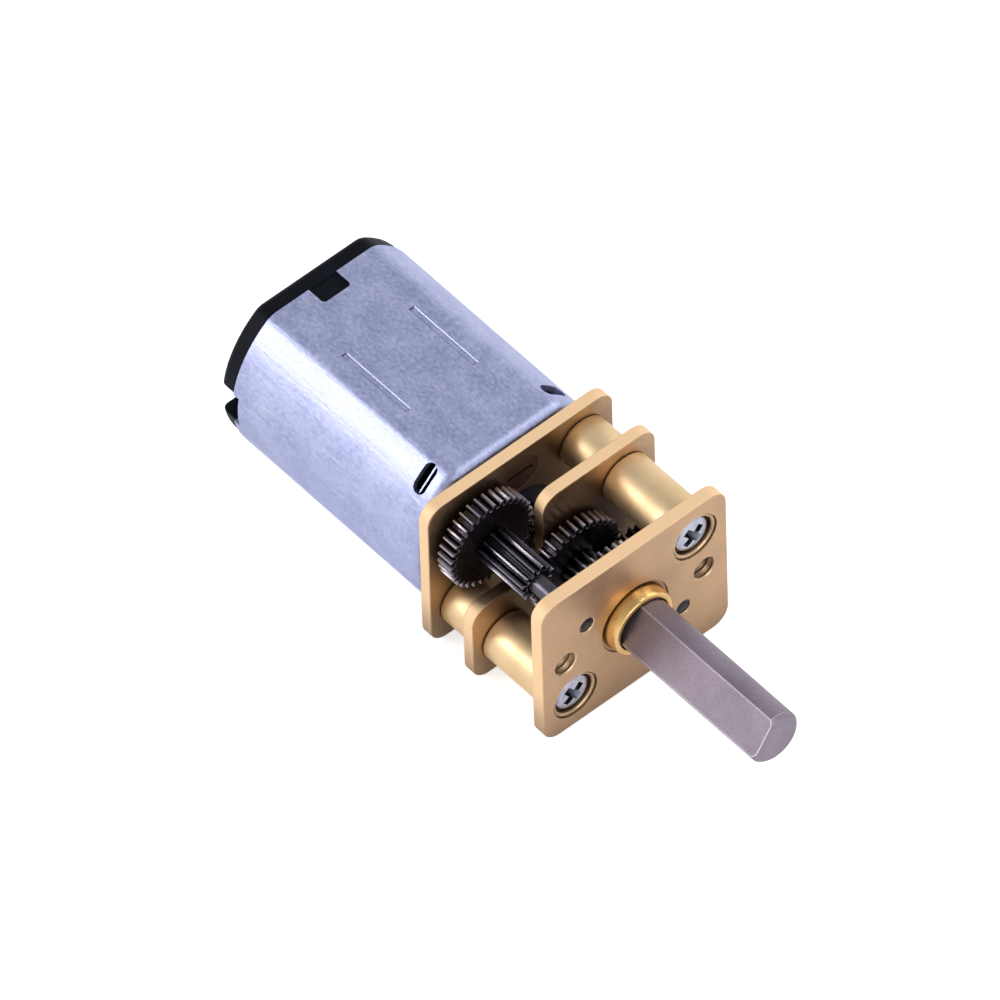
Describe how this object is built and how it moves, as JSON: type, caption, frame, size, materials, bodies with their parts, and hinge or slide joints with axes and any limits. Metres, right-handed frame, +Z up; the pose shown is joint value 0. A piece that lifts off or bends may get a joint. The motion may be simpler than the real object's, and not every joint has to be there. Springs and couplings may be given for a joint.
{
  "type": "gearmotor",
  "caption": "Miniature spur gearmotor: flattened can motor, open brass-plate gearbox with a spur gear train, and an output shaft with one flat.",
  "frame": {"origin": "bottom centre of the whole gearmotor lying on its flat, midway between the shaft's tip and the boss on the end cap", "axes": "the output shaft points along -Y, +X is to the right as seen from the shaft's end, +Z is up and normal to the motor's flats"},
  "size_m": [0.012, 0.0354, 0.01],
  "materials": {
    "brass": "punched and turned brass, satin faces with bright worn edges",
    "gear_steel": "dark oiled steel with bright tooth tips",
    "bright_steel": "hobbed and ground steel, bright",
    "shaft_steel": "ground steel with a milled flat",
    "screw_steel": "nickel-plated steel",
    "zinc_can": "bluish zinc plate, satin and slightly mottled",
    "black_plastic": "black moulded plastic, satin",
    "magnet": "sintered ferrite, matte",
    "copper": "copper strip and enamelled copper wire",
    "laminations": "stacked electrical steel sheet",
    "bronze": "sintered bronze, oily and matte",
    "spring_steel": "rolled spring steel"
  },
  "bodies": {
    "housing": {"front_plate": "brass", "middle_plate": "brass", "rear_plate": "brass", "front_spacer_upper": "brass", "front_spacer_lower": "brass", "rear_spacer_upper": "brass", "rear_spacer_lower": "brass", "gearbox_screw_upper": "screw_steel", "gearbox_screw_lower": "screw_steel", "output_bush": "brass", "motor_screw_upper": "screw_steel", "motor_screw_lower": "screw_steel", "motor_can": "zinc_can", "end_cap": "black_plastic", "front_bearing": "bronze", "rear_bearing": "bronze", "magnet_right": "magnet", "magnet_left": "magnet", "magnet_clip": "spring_steel", "terminal_right": "brass", "terminal_left": "brass", "brush_right": "copper", "brush_left": "copper"},
    "rotor": {"rotor_shaft": "bright_steel", "armature_core": "laminations", "winding_1": "copper", "winding_2": "copper", "winding_3": "copper", "commutator_core": "black_plastic", "commutator_segment_1": "copper", "commutator_segment_2": "copper", "commutator_segment_3": "copper", "motor_pinion": "bright_steel"},
    "first_stage": {"first_wheel": "gear_steel", "first_pinion_shaft": "bright_steel"},
    "second_stage": {"second_wheel": "gear_steel", "second_pinion": "bright_steel"},
    "third_stage": {"third_wheel": "gear_steel", "third_pinion_shaft": "bright_steel"},
    "output": {"output_wheel": "gear_steel", "output_shaft": "shaft_steel", "thrust_washer": "bronze"}
  },
  "joints": [
    {"name": "rotor_spin", "type": "hinge", "parent": "housing", "child": "rotor", "pos_m": [0, -0.0073, 0.005], "axis": [0, -1, 0], "continuous": true},
    {"name": "first_stage_spin", "type": "hinge", "parent": "housing", "child": "first_stage", "pos_m": [-0.00309, -0.0073, 0.00684], "axis": [0, -1, 0], "continuous": true},
    {"name": "second_stage_spin", "type": "hinge", "parent": "housing", "child": "second_stage", "pos_m": [0, -0.0073, 0.005], "axis": [0, -1, 0], "continuous": true},
    {"name": "third_stage_spin", "type": "hinge", "parent": "housing", "child": "third_stage", "pos_m": [0.00309, -0.0073, 0.00316], "axis": [0, -1, 0], "continuous": true},
    {"name": "output_spin", "type": "hinge", "parent": "housing", "child": "output", "pos_m": [0, -0.0073, 0.005], "axis": [0, -1, 0], "continuous": true}
  ],
  "couplings": [
    {"joint": "first_stage_spin", "follows": "rotor_spin", "ratio": -0.41176},
    {"joint": "second_stage_spin", "follows": "rotor_spin", "ratio": 0.13725},
    {"joint": "third_stage_spin", "follows": "rotor_spin", "ratio": -0.05098},
    {"joint": "output_spin", "follows": "rotor_spin", "ratio": 0.013416}
  ]
}
